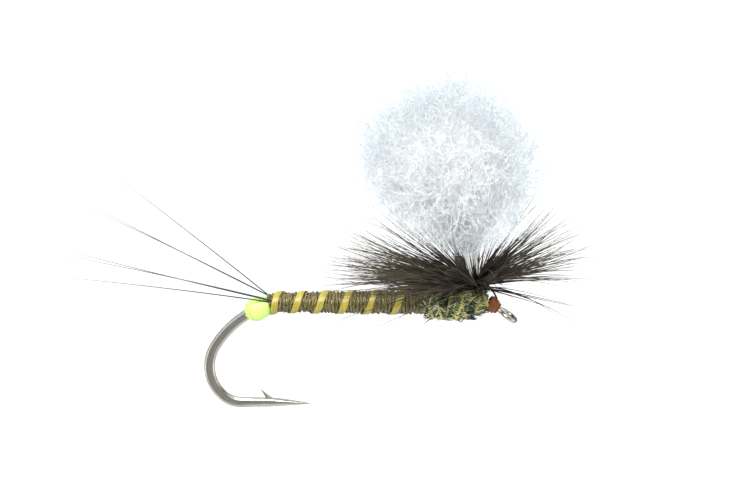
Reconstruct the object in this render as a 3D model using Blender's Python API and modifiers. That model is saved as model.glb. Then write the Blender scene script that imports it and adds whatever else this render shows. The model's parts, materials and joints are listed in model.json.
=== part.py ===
"""Parachute-style dry fly, tied on a barbed hook with a turned-down eye.

Metres, +Z up. The origin is the centre of the hook's eye. The shank runs back along -X, the bend
hangs below it, and the wing stands above it. The hook's wire lies in the XZ plane, so the fly's
near and far sides are -Y and +Y.

Order of tying, which is also the order of the functions below: hook, thread base, tail, butt,
abdomen and rib, wing post, hackle, thorax, head.
"""

import math
import random

import bmesh
import bpy
from mathutils import Matrix, Vector

MM = 0.001
MERGE = 0.0001 * MM                 # merge distance for a model this small
ROUND_SIDES = 16                    # facets round a turned piece

# ---- hook ----
SHANK_Z = 0.78 * MM                 # height of the shank's axis over the eye's centre
SHANK_R = 0.26 * MM
WIRE_SIDES = 12
BEND_START_X = -13.0 * MM
BEND_ARCS = (                       # (turn in degrees, radius), from the shank round to the point
    (19.0, 2.46 * MM),
    (40.0, 5.80 * MM),
    (78.0, 2.39 * MM),
    (43.0, 1.54 * MM),
)
POINT_LENGTH = 3.95 * MM            # straight wire after the bend
POINT_TAPER = 1.9 * MM
POINT_TIP_R = 0.015 * MM
FORGED_R = 0.31 * MM                # half width of the bend, in the hook's plane
FORGED_HALF_THICK = 0.20 * MM       # half thickness of the bend, between its forged flats
FORGE_RUN = 0.7 * MM                # length over which the round wire turns into the forged one
EYE_DOWN = math.radians(35.0)       # the eye is turned down from the shank
EYE_RING_R = 0.52 * MM              # to the middle of the wire
EYE_WIRE_R = 0.115 * MM
NECK_HALF_GAP = 0.16 * MM           # the two wires lie this far either side of the hook's plane
NECK_END_U = -0.62 * MM             # where the eye opens out, along the eye's own axis
NECK_TAPER_END_X = -3.0 * MM        # the shank has its full diameter from here back
POINT_DROP = 0.09 * MM              # the point is ground from above, so its tip lies low
BARB_ROOT_X = -13.82 * MM
BARB_ROOT_LIFT = 0.08 * MM          # over the wire's middle
BARB_LENGTH = 0.80 * MM
BARB_ANGLE = math.radians(52.0)
BARB_ROOT_R = 0.14 * MM
BARB_TIP_R = 0.02 * MM

# ---- thread and lashings, all turned round the shank ----
THREAD_BASE = (-12.95 * MM, -2.45 * MM)
THREAD_BASE_R = (0.285 * MM, 0.345 * MM, 0.39 * MM)      # bore, outside at the rear, at the front
TAIL_LASHING = (-12.9 * MM, -12.1 * MM)
TAIL_LASHING_R = (0.37 * MM, 0.42 * MM)
WING_LASHING = (-3.45 * MM, -1.45 * MM)
WING_LASHING_R = (0.42 * MM, 0.52 * MM)

# ---- butt, abdomen and rib ----
ABDOMEN_FRONT_X = -4.72 * MM
ABDOMEN_REAR_S = 0.74 * MM          # past the start of the bend
ABDOMEN_BORE_R = 0.445 * MM
ABDOMEN_R = (0.59 * MM, 0.70 * MM)  # at the rear and at the front
BUTT_MIDDLE_S = 1.48 * MM
BUTT_HALF_LENGTH = 0.95 * MM        # of the whole egg, before its ends are cut off by the bore
BUTT_R = 0.66 * MM
BUTT_BORE_R = 0.42 * MM
RIB_WIDTH = 0.43 * MM
RIB_THICK = 0.035 * MM
RIB_LIFT = 0.02 * MM                # clear of the abdomen's facets
RIB_FIRST_MIDDLE_X = -13.46 * MM    # where its first turn crosses the near side
RIB_TURNS = (-0.12, 5.45)           # counted from that crossing
RIB_FIRST_PITCH = 1.27 * MM
RIB_PITCH_GROWTH = 0.075 * MM       # each turn is this much longer than the one behind it
RIB_STEPS = 16                      # for each turn

# ---- tail ----
TAIL_TIE_X = -13.86 * MM
TAIL_ROOT_R = 0.055 * MM
TAIL_TIP_R = 0.022 * MM
TAIL_POINTS = 9
# One fibre a line: root (y, z), tip (x, y, z), and how far the middle bows upwards, in millimetres.
TAIL_FAR = (
    ((0.50, 1.10), (-22.40, 3.7, 7.08), 0.05),
    ((0.36, 1.10), (-24.08, 2.4, 5.67), 0.08),
    ((0.22, 1.14), (-23.67, 1.0, 6.09), -0.02),
)
TAIL_NEAR = (
    ((-0.36, 1.06), (-25.46, -1.0, 3.85), 0.08),
    ((-0.50, 1.06), (-25.22, -2.4, 4.51), -0.03),
    ((-0.43, 0.94), (-25.50, -3.7, 3.35), 0.07),
)

# ---- wing post and hackle, in the post's own frame: +Z along the post, origin at its foot ----
POST_FOOT = Vector((-1.72 * MM, 0.0, 1.32 * MM))
POST_LEAN = math.radians(-11.0)     # about +Y: the post leans back towards the tail
POST_FOOT_R = 0.25 * MM
POST_R = 0.31 * MM
POST_FOOT_TOP = 0.50 * MM           # the foot is squeezed as thin as this by the thorax
POST_TOP = 2.30 * MM
POST_WRAP = (0.62 * MM, 2.16 * MM)
POST_WRAP_R = (0.33 * MM, 0.38 * MM)
STEM_TURNS = 4
STEM_HELIX_R = 0.45 * MM
STEM_R = 0.05 * MM
STEM_RISE = (0.66 * MM, 1.50 * MM)
# The quill's end comes down over the thorax and is tied in on top of the head.
STEM_TIE_DOWN = (
    (-1.33 * MM, -0.25 * MM, 2.00 * MM),
    (-1.16 * MM, -0.20 * MM, 1.87 * MM),
    (-0.98 * MM, -0.12 * MM, 1.68 * MM),
    (-0.82 * MM, -0.05 * MM, 1.44 * MM),
    (-0.70 * MM, 0.00 * MM, 1.22 * MM),
)
BARB_RING = (0.66 * MM, 1.56 * MM)
BARB_RING_R = (0.53 * MM, 0.62 * MM)
BARB_COLUMNS = 36
BARB_ROWS = 9
HACKLE_LENGTH = (6.5 * MM, 7.6 * MM)
HACKLE_CONE = math.radians(11.0)    # the barbs rise this much over the hackle's own plane
HACKLE_SPREAD = math.radians(3.0)
HACKLE_TIP_SCALE = 0.16

# ---- wing ----
WING_HINGE_UP = 2.34 * MM           # along the post
# Sections of the plume: height over its hinge, middle x from the hinge, half width, half thickness.
WING_SECTIONS = (
    (0.06 * MM, 0.00 * MM, 0.30 * MM, 0.30 * MM),
    (0.50 * MM, -0.05 * MM, 0.85 * MM, 0.62 * MM),
    (1.00 * MM, -0.12 * MM, 1.70 * MM, 1.02 * MM),
    (1.70 * MM, -0.25 * MM, 2.75 * MM, 1.45 * MM),
    (2.80 * MM, -0.45 * MM, 3.85 * MM, 1.90 * MM),
    (4.20 * MM, -0.60 * MM, 4.55 * MM, 2.20 * MM),
    (6.00 * MM, -0.62 * MM, 4.75 * MM, 2.30 * MM),
    (7.60 * MM, -0.60 * MM, 4.40 * MM, 2.10 * MM),
    (8.90 * MM, -0.50 * MM, 3.40 * MM, 1.65 * MM),
    (9.80 * MM, -0.30 * MM, 2.20 * MM, 1.10 * MM),
    (10.35 * MM, 0.00 * MM, 0.90 * MM, 0.50 * MM),
)
WING_SIDES = 24

# ---- thorax ----
HERL_COUNT = 3
THORAX = (-4.40 * MM, -1.36 * MM)   # middles of the first and the last turn
HERL_HELIX_R = 0.78 * MM
HERL_R = 0.225 * MM
HERL_FRONT_R = 0.15 * MM            # the strands thin out over their last turn
HERL_PITCH = 1.5 * MM
HERL_STEPS = 18                     # for each turn
POST_PASSAGE_R = 0.30 * MM          # gap that the strands leave for the foot of the post

# ---- head, along the eye's own axis (u runs forward and down through the eye's centre) ----
HEAD_U = (-1.24 * MM, -0.64 * MM)
HEAD_R = 0.50 * MM
HEAD_BORE_R = (0.37 * MM, 0.31 * MM)                    # rear and front
VARNISH_U = (-0.62 * MM, -0.53 * MM)
VARNISH_R = (0.37 * MM, 0.45 * MM)


# ---------------------------------------------------------------- scene, materials, helpers

def clear_scene():
    for old in list(bpy.data.objects):
        bpy.data.objects.remove(old, do_unlink=True)


def make_collection(name):
    made = bpy.data.collections.new(name)
    bpy.context.scene.collection.children.link(made)
    return made


def make_material(name, colour, roughness, metallic=0.0):
    made = bpy.data.materials.new(name)
    made.use_nodes = True
    shader = made.node_tree.nodes["Principled BSDF"]
    shader.inputs["Base Color"].default_value = (*colour, 1.0)
    shader.inputs["Roughness"].default_value = roughness
    shader.inputs["Metallic"].default_value = metallic
    return made


def add_object(name, mesh, material=None):
    """Link a mesh as an object: into the fly's collection, or with no material as a cutter."""
    made = bpy.data.objects.new(name, mesh)
    if material is None:
        cutters.objects.link(made)
        made.hide_render = True
        made.display_type = "WIRE"
        return made
    fly.objects.link(made)
    mesh.materials.clear()
    mesh.materials.append(material)
    return made


def shade(obj, degrees=40.0):
    obj.data.shade_smooth()
    obj.data.set_sharp_from_angle(angle=math.radians(degrees))


def curve_mesh(name, points, radii, resolution=2):
    """A closed tube along a polyline, with its own radius at each point."""
    curve = bpy.data.curves.new(name, "CURVE")
    curve.dimensions = "3D"
    curve.bevel_depth = max(radii)
    curve.bevel_resolution = resolution
    curve.use_fill_caps = True
    spline = curve.splines.new("POLY")
    spline.points.add(len(points) - 1)
    for knot, place, radius in zip(spline.points, points, radii):
        knot.co = (*place, 1.0)
        knot.radius = radius / max(radii)
    guide = bpy.data.objects.new(name + "_curve", curve)
    bpy.context.scene.collection.objects.link(guide)
    bpy.context.view_layer.update()
    graph = bpy.context.evaluated_depsgraph_get()
    mesh = bpy.data.meshes.new_from_object(guide.evaluated_get(graph))
    mesh.name = name
    bpy.data.objects.remove(guide, do_unlink=True)
    bpy.data.curves.remove(curve)
    work = bmesh.new()
    work.from_mesh(mesh)
    bmesh.ops.remove_doubles(work, verts=work.verts, dist=MERGE)
    bmesh.ops.recalc_face_normals(work, faces=work.faces)
    work.to_mesh(mesh)
    work.free()
    return mesh


def loft_mesh(name, rings):
    """A closed skin through rings of equal count, for sections that change shape on the way."""
    work = bmesh.new()
    made = [[work.verts.new(place) for place in ring] for ring in rings]
    for ring, following in zip(made, made[1:]):
        for i in range(len(ring)):
            j = (i + 1) % len(ring)
            work.faces.new((ring[i], ring[j], following[j], following[i]))
    work.faces.new(made[0])
    work.faces.new(made[-1])
    bmesh.ops.recalc_face_normals(work, faces=work.faces)
    mesh = bpy.data.meshes.new(name)
    work.to_mesh(mesh)
    work.free()
    return mesh


def turned(name, material, profile, steps=ROUND_SIDES, closed=True):
    """Turn a profile of (radius, height) about Z; its outer side runs from top to bottom."""
    work = bmesh.new()
    verts = [work.verts.new((radius, 0.0, height)) for radius, height in profile]
    for first, second in zip(verts, verts[1:]):
        work.edges.new((first, second))
    if closed:
        work.edges.new((verts[-1], verts[0]))
    mesh = bpy.data.meshes.new(name)
    work.to_mesh(mesh)
    work.free()
    made = add_object(name, mesh, material)
    screw = made.modifiers.new("turn", "SCREW")
    screw.axis = "Z"
    screw.steps = steps
    screw.render_steps = steps
    screw.use_merge_vertices = True
    screw.merge_threshold = MERGE
    screw.use_smooth_shade = True
    return made


def sleeve_profile(bore, outer_low, outer_high, low, high):
    """Outer side from top to bottom, then the bore from bottom to top."""
    return ((outer_high, high), (outer_low, low), (bore, low), (bore, high))


def boolean(obj, tool, operation):
    modifier = obj.modifiers.new(operation.lower(), "BOOLEAN")
    modifier.operation = operation
    modifier.object = tool
    return modifier


def along_shank(obj, x=0.0):
    """Lay an object's Z along +X, on the shank's axis."""
    obj.location = (x, 0.0, SHANK_Z)
    obj.rotation_euler = (0.0, math.radians(90.0), 0.0)


def blend(low, high, fraction):
    return low + (high - low) * fraction


# ---------------------------------------------------------------- hook

def on_wire(s):
    """Middle of the wire and its heading below -X, at distance s past the start of the bend."""
    x, z, heading = BEND_START_X, SHANK_Z, 0.0
    for degrees, radius in BEND_ARCS:
        turn = min(math.radians(degrees), max(s, 0.0) / radius)
        x -= radius * (math.sin(heading + turn) - math.sin(heading))
        z -= radius * (math.cos(heading) - math.cos(heading + turn))
        heading += turn
        s -= turn * radius
    x -= s * math.cos(heading)
    z -= s * math.sin(heading)
    return Vector((x, 0.0, z)), heading


def eye_point(u, w):
    """A point of the eye's plane: u forward and down along the eye, w to the far side."""
    return Vector((u * math.cos(EYE_DOWN), w, -u * math.sin(EYE_DOWN)))


def eye_stations():
    """The loop of the eye, from the wire's free end round to the front of the shank."""
    reach = math.hypot(NECK_END_U, NECK_HALF_GAP)
    leave = math.atan2(NECK_HALF_GAP, NECK_END_U) - math.acos(EYE_RING_R / reach)
    plane = [(-1.10 * MM, -NECK_HALF_GAP), (-0.86 * MM, -NECK_HALF_GAP), (NECK_END_U, -NECK_HALF_GAP)]
    steps = 16
    for i in range(steps + 1):
        angle = leave * (2.0 * i / steps - 1.0)
        plane.append((EYE_RING_R * math.cos(angle), EYE_RING_R * math.sin(angle)))
    plane += [(NECK_END_U, NECK_HALF_GAP), (-0.86 * MM, NECK_HALF_GAP), (-1.10 * MM, NECK_HALF_GAP)]
    up = Vector((math.sin(EYE_DOWN), 0.0, math.cos(EYE_DOWN)))
    return [(eye_point(u, w), up, EYE_WIRE_R, EYE_WIRE_R) for u, w in plane]


def shank_stations():
    """The shank, from the neck behind the eye back to the bend: it thickens as it straightens."""
    made = []
    up = Vector((0.0, 0.0, 1.0))
    for x in (-1.25 * MM, -1.7 * MM, -2.2 * MM, NECK_TAPER_END_X, -8.0 * MM):
        fraction = min(1.0, (x + 1.05 * MM) / (NECK_TAPER_END_X + 1.05 * MM))
        radius = blend(0.12 * MM, SHANK_R, fraction)
        side = NECK_HALF_GAP * (1.0 - fraction) ** 2
        made.append((Vector((x, side, SHANK_Z)), up, radius, radius))
    return made


def bend_stations():
    """The bend and the point: forged flat sides on the bend, then a long round taper."""
    bend_length = sum(math.radians(degrees) * radius for degrees, radius in BEND_ARCS)
    whole = bend_length + POINT_LENGTH
    taper_start = whole - POINT_TAPER
    made = []
    steps = 44
    for i in range(steps + 1):
        s = whole * i / steps
        middle, heading = on_wire(s)
        up = Vector((-math.sin(heading), 0.0, math.cos(heading)))
        forged = min(1.0, s / FORGE_RUN)
        radius = blend(SHANK_R, FORGED_R, forged)
        flat = blend(SHANK_R, FORGED_HALF_THICK, forged)
        if s > taper_start:
            left = (whole - s) / POINT_TAPER
            radius = blend(POINT_TIP_R, FORGED_R, left ** 0.9)
            flat = min(FORGED_HALF_THICK, radius)
            middle = middle + up * POINT_DROP * (1.0 - left)    # here the wire's top faces down
        made.append((middle, up, radius, flat))
    return made


def make_hook(material):
    """One wire, swept from the eye's free end to the point, with the barb raised out of it."""
    stations = eye_stations() + shank_stations() + bend_stations()
    rings = []
    for i, (middle, up, radius, flat) in enumerate(stations):
        before = stations[max(i - 1, 0)][0]
        after = stations[min(i + 1, len(stations) - 1)][0]
        forward = (after - before).normalized()
        side = forward.cross(up).normalized()
        top = side.cross(forward)
        ring = []
        for k in range(WIRE_SIDES):
            angle = 2.0 * math.pi * k / WIRE_SIDES
            across = max(-flat, min(flat, radius * math.sin(angle)))
            ring.append(middle + top * (radius * math.cos(angle)) + side * across)
        rings.append(ring)
    hook = add_object("hook", loft_mesh("hook", rings), material)
    shade(hook)

    bottom_z = on_wire(100.0 * MM)[0].z
    bpy.ops.mesh.primitive_cone_add(
        vertices=8, radius1=BARB_ROOT_R, radius2=BARB_TIP_R, depth=BARB_LENGTH,
    )
    barb = bpy.context.object
    barb.name = "barb_tool"
    lean = Vector((-math.cos(BARB_ANGLE), 0.0, math.sin(BARB_ANGLE)))
    root = Vector((BARB_ROOT_X, 0.0, bottom_z + BARB_ROOT_LIFT))
    barb.rotation_euler = lean.to_track_quat("Z", "Y").to_euler()
    barb.location = root + lean * (BARB_LENGTH / 2.0)
    move_to_cutters(barb)
    boolean(hook, barb, "UNION")
    return hook


def move_to_cutters(obj):
    for holder in list(obj.users_collection):
        holder.objects.unlink(obj)
    cutters.objects.link(obj)
    obj.hide_render = True
    obj.display_type = "WIRE"


# ---------------------------------------------------------------- thread and lashings

def make_thread_base(material):
    low, high = THREAD_BASE
    bore, rear, front = THREAD_BASE_R
    base = turned("thread_base", material, sleeve_profile(bore, rear, front, low, high))
    along_shank(base)


def make_lashing(name, material, span, radii):
    low, high = span
    bore, outer = radii
    lashing = turned(name, material, sleeve_profile(bore, outer, outer, low, high))
    along_shank(lashing)


# ---------------------------------------------------------------- tail

def make_tail(first_number, fibres, pivot_name, material):
    """One bundle of fibres on its own pivot, an empty where the bundle is tied in."""
    side = sum(root[0] for root, tip, bow in fibres) / len(fibres) * MM
    height = sum(root[1] for root, tip, bow in fibres) / len(fibres) * MM
    pivot = bpy.data.objects.new(pivot_name, None)
    pivot.empty_display_size = MM
    pivot.location = (TAIL_TIE_X, side, height)
    fly.objects.link(pivot)
    for number, (root, tip, bow) in enumerate(fibres, start=first_number):
        name = f"tail_fibre_{number}"
        start = Vector((TAIL_TIE_X, root[0] * MM, root[1] * MM)) - pivot.location
        end = Vector(tip) * MM - pivot.location
        points = []
        radii = []
        for i in range(TAIL_POINTS):
            t = i / (TAIL_POINTS - 1)
            lift = Vector((0.0, 0.0, 4.0 * bow * MM * t * (1.0 - t)))
            points.append(start.lerp(end, t) + lift)
            radii.append(blend(TAIL_ROOT_R, TAIL_TIP_R, t ** 1.3))
        fibre = add_object(name, curve_mesh(name, points, radii, resolution=1), material)
        fibre.parent = pivot
        shade(fibre)


# ---------------------------------------------------------------- butt, abdomen, rib

def make_butt(material):
    """An egg of floss round the wire where the bend begins."""
    cut = math.asin((BUTT_BORE_R + 0.03 * MM) / BUTT_R)
    steps = 12
    outer = []
    for i in range(steps + 1):
        angle = cut + (math.pi - 2.0 * cut) * i / steps
        outer.append((BUTT_R * math.sin(angle), BUTT_HALF_LENGTH * math.cos(angle)))
    profile = outer + [(BUTT_BORE_R, outer[-1][1]), (BUTT_BORE_R, outer[0][1])]
    butt = turned("butt_floss", material, profile)
    middle, heading = on_wire(BUTT_MIDDLE_S)
    butt.location = middle
    butt.rotation_euler = (0.0, math.radians(-90.0) - heading, 0.0)


def abdomen_radius(x):
    front = (x - BEND_START_X) / (ABDOMEN_FRONT_X - BEND_START_X)
    return blend(ABDOMEN_R[0], ABDOMEN_R[1], max(0.0, min(1.0, front)))


def make_abdomen(material):
    """A wound body, bored for the thread base, whose rear end follows the wire into the bend."""
    front_s = BEND_START_X - ABDOMEN_FRONT_X
    stops = [blend(front_s, 0.0, i / 8) for i in range(9)]
    stops += [ABDOMEN_REAR_S * i / 3 for i in (1, 2, 3)]
    points = [on_wire(s)[0] for s in stops]
    radii = [abdomen_radius(place.x) for place in points]
    abdomen = add_object("abdomen_wrap", curve_mesh("abdomen_wrap", points, radii, 5), material)

    past_end = 0.4 * MM
    bore_stops = [front_s - past_end] + stops[1:-1] + [ABDOMEN_REAR_S + past_end]
    bore_points = [on_wire(s)[0] for s in bore_stops]
    bore = curve_mesh("abdomen_bore", bore_points, [ABDOMEN_BORE_R] * len(bore_points), 5)
    boolean(abdomen, add_object("abdomen_bore", bore), "DIFFERENCE")
    shade(abdomen)


def rib_x(turn):
    """Where the rib's middle is after so many turns from its first crossing of the near side."""
    return RIB_FIRST_MIDDLE_X + RIB_FIRST_PITCH * turn + RIB_PITCH_GROWTH * turn * (turn - 1.0) / 2.0


def make_rib(material):
    """A flat ribbon in an open spiral; it rises on the near side on its way to the head."""
    first, last = RIB_TURNS
    count = round((last - first) * RIB_STEPS)
    rings = []
    for i in range(count + 1):
        turn = blend(first, last, i / count)
        angle = 2.0 * math.pi * turn
        outward = Vector((0.0, -math.cos(angle), math.sin(angle)))
        x = rib_x(turn)
        ring = []
        for along, lift in ((-0.5, 0.0), (0.5, 0.0), (0.5, RIB_THICK), (-0.5, RIB_THICK)):
            edge_x = x + along * RIB_WIDTH
            axis_point = on_wire(BEND_START_X - edge_x)[0]
            radius = abdomen_radius(edge_x) + RIB_LIFT + lift
            ring.append(Vector((edge_x, 0.0, axis_point.z)) + outward * radius)
        rings.append(ring)
    add_object("rib", loft_mesh("rib", rings), material)


# ---------------------------------------------------------------- wing post and hackle

def make_post_frame():
    """An empty that carries everything built round the post, in the post's own frame."""
    frame = bpy.data.objects.new("post_frame", None)
    frame.empty_display_size = MM
    frame.location = POST_FOOT
    frame.rotation_euler = (0.0, POST_LEAN, 0.0)
    fly.objects.link(frame)
    return frame


def post_matrix():
    return Matrix.Translation(POST_FOOT) @ Matrix.Rotation(POST_LEAN, 4, "Y")


def make_post(frame, material):
    profile = (
        (0.0, POST_TOP),
        (POST_R, POST_TOP),
        (POST_R, POST_FOOT_TOP + 0.08 * MM),
        (POST_FOOT_R, POST_FOOT_TOP),
        (POST_FOOT_R, 0.0),
        (0.0, 0.0),
    )
    post = turned("wing_post", material, profile, closed=False)
    post.parent = frame


def make_post_wrap(frame, material):
    low, high = POST_WRAP
    bore, outer = POST_WRAP_R
    wrap = turned("post_wrap", material, sleeve_profile(bore, outer, outer, low, high))
    wrap.parent = frame


def make_hackle_stem(material):
    """The feather's quill: wound up the post, brought down again in front, tied in at the head."""
    place = post_matrix()
    steps = 14
    points = []
    for i in range(STEM_TURNS * steps + 1):
        turn = i / steps
        angle = -2.0 * math.pi * turn - math.radians(35.0)
        low, high = STEM_RISE
        height = blend(high, low, turn / STEM_TURNS)
        points.append(place @ Vector((
            STEM_HELIX_R * math.cos(angle), STEM_HELIX_R * math.sin(angle), height)))
    points += [Vector(spot) for spot in STEM_TIE_DOWN]
    radii = [STEM_R] * len(points)
    stem = add_object("hackle_stem", curve_mesh("hackle_stem", points, radii, 1), material)
    shade(stem)


def make_hackle_barbs(frame, material):
    """The barbs as spikes drawn out of the faces of a thin ring round the quill."""
    low, high = BARB_RING
    bore, outer = BARB_RING_R
    rows = [blend(high, low, i / BARB_ROWS) for i in range(BARB_ROWS + 1)]
    profile = [(outer, height) for height in rows] + [(bore, low), (bore, high)]
    ring = turned("hackle_barbs", material, profile, steps=BARB_COLUMNS)
    graph = bpy.context.evaluated_depsgraph_get()
    bpy.context.view_layer.update()
    mesh = bpy.data.meshes.new_from_object(ring.evaluated_get(graph))
    ring.modifiers.clear()

    chance = random.Random(7)
    work = bmesh.new()
    work.from_mesh(mesh)
    chosen = []
    for face in work.faces:
        middle = face.calc_center_median()
        if math.hypot(middle.x, middle.y) < blend(bore, outer, 0.8) or abs(face.normal.z) > 0.5:
            continue
        row = int((high - middle.z) / (high - low) * BARB_ROWS)
        column = int((math.atan2(middle.y, middle.x) / (2.0 * math.pi) % 1.0) * BARB_COLUMNS)
        if row % 2 == 1 and (column + row // 2) % 2 == 0:
            chosen.append((row, column, face))
    chosen.sort(key=lambda item: item[:2])
    drawn = bmesh.ops.extrude_discrete_faces(work, faces=[face for row, column, face in chosen])
    for face in drawn["faces"]:
        middle = face.calc_center_median()
        up_ring = (middle.z - low) / (high - low)
        rise = HACKLE_CONE + HACKLE_SPREAD * (2.0 * up_ring - 1.0)
        outward = Vector((middle.x, middle.y, 0.0)).normalized()
        direction = outward * math.cos(rise) + Vector((0.0, 0.0, math.sin(rise)))
        tip = middle + direction * chance.uniform(*HACKLE_LENGTH)
        for vert in face.verts:
            vert.co = tip + (vert.co - middle) * HACKLE_TIP_SCALE
    work.to_mesh(mesh)
    work.free()
    ring.data = mesh
    mesh.materials.clear()
    mesh.materials.append(material)
    ring.parent = frame


def make_wing(material):
    """The combed-out yarn over the hackle, on a pivot at the top of the post."""
    pivot = bpy.data.objects.new("wing_pivot", None)
    pivot.empty_display_size = MM
    pivot.location = post_matrix() @ Vector((0.0, 0.0, WING_HINGE_UP))
    fly.objects.link(pivot)
    rings = []
    for height, middle_x, half_width, half_thick in WING_SECTIONS:
        ring = []
        for k in range(WING_SIDES):
            angle = 2.0 * math.pi * k / WING_SIDES
            ring.append(Vector((
                middle_x + half_width * math.cos(angle), half_thick * math.sin(angle), height)))
        rings.append(ring)
    plume = add_object("wing_plume", loft_mesh("wing_plume", rings), material)
    plume.parent = pivot
    shade(plume, 60.0)


# ---------------------------------------------------------------- thorax

def make_thorax(material):
    """Three herls wound side by side, which part round the foot of the wing post."""
    rear, front = THORAX
    bpy.ops.mesh.primitive_cylinder_add(vertices=12, radius=POST_PASSAGE_R, depth=1.6 * MM)
    passage = bpy.context.object
    passage.name = "post_passage"
    passage.matrix_world = post_matrix() @ Matrix.Translation((0.0, 0.0, 0.3 * MM))
    move_to_cutters(passage)
    # On top, the post stands midway between two neighbouring strands.
    post_x = POST_FOOT.x + (SHANK_Z + HERL_HELIX_R - POST_FOOT.z) * math.tan(POST_LEAN)
    crossing_x = post_x - HERL_PITCH / (2.0 * HERL_COUNT)
    phase = 0.25 - (crossing_x - rear) / HERL_PITCH
    turns = (front - rear) / HERL_PITCH
    count = round(turns * HERL_STEPS)
    for strand in range(HERL_COUNT):
        name = f"herl_strand_{strand + 1}"
        points = []
        radii = []
        for i in range(count + 1):
            turn = turns * i / count
            angle = 2.0 * math.pi * (turn + phase + strand / HERL_COUNT)
            thin = max(0.0, turn - turns + 1.0)
            radius = blend(HERL_R, HERL_FRONT_R, thin)
            helix_r = HERL_HELIX_R - (HERL_R - radius)
            x = rear + HERL_PITCH * turn
            points.append(Vector((
                x, -helix_r * math.cos(angle), SHANK_Z + helix_r * math.sin(angle))))
            radii.append(radius)
        radii[0] *= 0.7
        radii[-1] *= 0.7
        herl = add_object(name, curve_mesh(name, points, radii, 2), material)
        boolean(herl, passage, "DIFFERENCE")
        shade(herl, 50.0)


# ---------------------------------------------------------------- head

def along_eye(obj):
    """Lay an object's Z along the eye's own axis, forward and down."""
    obj.rotation_euler = (0.0, math.radians(90.0) + EYE_DOWN, 0.0)


def make_head(thread, varnish):
    low, high = HEAD_U
    rear_bore, front_bore = HEAD_BORE_R
    profile = [
        (front_bore + 0.05 * MM, high),
        (HEAD_R * 0.93, blend(high, low, 0.12)),
        (HEAD_R, blend(high, low, 0.35)),
        (HEAD_R, blend(high, low, 0.80)),
        (HEAD_R * 0.95, low),
        (rear_bore, low),
        (front_bore, high),
    ]
    along_eye(turned("head_thread", thread, profile))
    low, high = VARNISH_U
    bore, outer = VARNISH_R
    along_eye(turned("head_varnish", varnish, sleeve_profile(bore, outer, outer, low, high)))


# ---------------------------------------------------------------- build

clear_scene()
fly = make_collection("dry_fly")
cutters = make_collection("cutters")

STEEL = make_material("hook_steel", (0.26, 0.25, 0.23), 0.28, 1.0)
THREAD = make_material("brown_thread", (0.32, 0.12, 0.03), 0.6)
PALE_THREAD = make_material("pale_thread", (0.72, 0.74, 0.76), 0.6)
VARNISH = make_material("varnish", (0.55, 0.36, 0.16), 0.08)
TAIL = make_material("tail_fibre", (0.10, 0.12, 0.12), 0.45)
FLOSS = make_material("butt_floss", (0.62, 0.88, 0.08), 0.4)
ABDOMEN = make_material("abdomen_strand", (0.13, 0.10, 0.04), 0.7)
RIB = make_material("rib_ribbon", (0.78, 0.60, 0.07), 0.35)
YARN = make_material("wing_yarn", (0.86, 0.89, 0.92), 0.8)
QUILL = make_material("hackle_quill", (0.05, 0.035, 0.025), 0.5)
BARBS = make_material("hackle_barbs", (0.06, 0.05, 0.04), 0.6)
HERL = make_material("peacock_herl", (0.07, 0.13, 0.09), 0.6)

make_hook(STEEL)
make_thread_base(THREAD)
make_lashing("tail_lashing", THREAD, TAIL_LASHING, TAIL_LASHING_R)
make_tail(1, TAIL_FAR, "tail_far_pivot", TAIL)
make_tail(1 + len(TAIL_FAR), TAIL_NEAR, "tail_near_pivot", TAIL)
make_butt(FLOSS)
make_abdomen(ABDOMEN)
make_rib(RIB)
make_lashing("wing_lashing", THREAD, WING_LASHING, WING_LASHING_R)
post_frame = make_post_frame()
make_post(post_frame, YARN)
make_post_wrap(post_frame, PALE_THREAD)
make_hackle_stem(QUILL)
make_hackle_barbs(post_frame, BARBS)
make_wing(YARN)
make_thorax(HERL)
make_head(THREAD, VARNISH)
bpy.context.view_layer.update()
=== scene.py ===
"""The looks of a parachute dry fly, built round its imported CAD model.

Metres, +Z up, the hook's eye at the origin and the hook's wire in the XZ plane, as in the CAD.
Almost everything on a fly is a fibre, so almost every piece here is made of tubes along paths:
wound strands, feather barbs, herl flue, crimped yarn. tubes() builds them and stores three
attributes that the materials read: "along" (0 at the root, 1 at the tip), "tone" (one number
for each tube) and "grain" (a coordinate that runs with the tube, for fine filaments).
"""

import json
import math

import bpy
import numpy as np
from mathutils import Matrix, Vector


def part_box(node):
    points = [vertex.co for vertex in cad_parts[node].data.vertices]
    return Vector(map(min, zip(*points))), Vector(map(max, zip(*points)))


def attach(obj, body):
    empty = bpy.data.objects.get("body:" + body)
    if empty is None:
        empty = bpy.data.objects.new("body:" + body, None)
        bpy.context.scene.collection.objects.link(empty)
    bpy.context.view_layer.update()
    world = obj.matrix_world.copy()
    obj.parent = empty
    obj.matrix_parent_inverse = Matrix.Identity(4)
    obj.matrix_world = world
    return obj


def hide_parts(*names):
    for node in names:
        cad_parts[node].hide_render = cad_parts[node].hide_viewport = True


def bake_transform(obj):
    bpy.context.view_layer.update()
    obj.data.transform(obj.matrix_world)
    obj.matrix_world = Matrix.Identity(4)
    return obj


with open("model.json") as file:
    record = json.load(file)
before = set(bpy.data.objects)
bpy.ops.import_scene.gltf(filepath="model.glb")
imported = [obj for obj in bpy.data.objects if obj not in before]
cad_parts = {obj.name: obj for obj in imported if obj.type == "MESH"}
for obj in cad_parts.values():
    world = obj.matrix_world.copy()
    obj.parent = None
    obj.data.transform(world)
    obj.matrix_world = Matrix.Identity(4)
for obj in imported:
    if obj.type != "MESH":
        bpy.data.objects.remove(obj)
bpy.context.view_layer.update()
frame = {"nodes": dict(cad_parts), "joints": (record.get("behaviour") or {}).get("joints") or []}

MM = 0.001
TURN = 2.0 * math.pi

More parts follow.
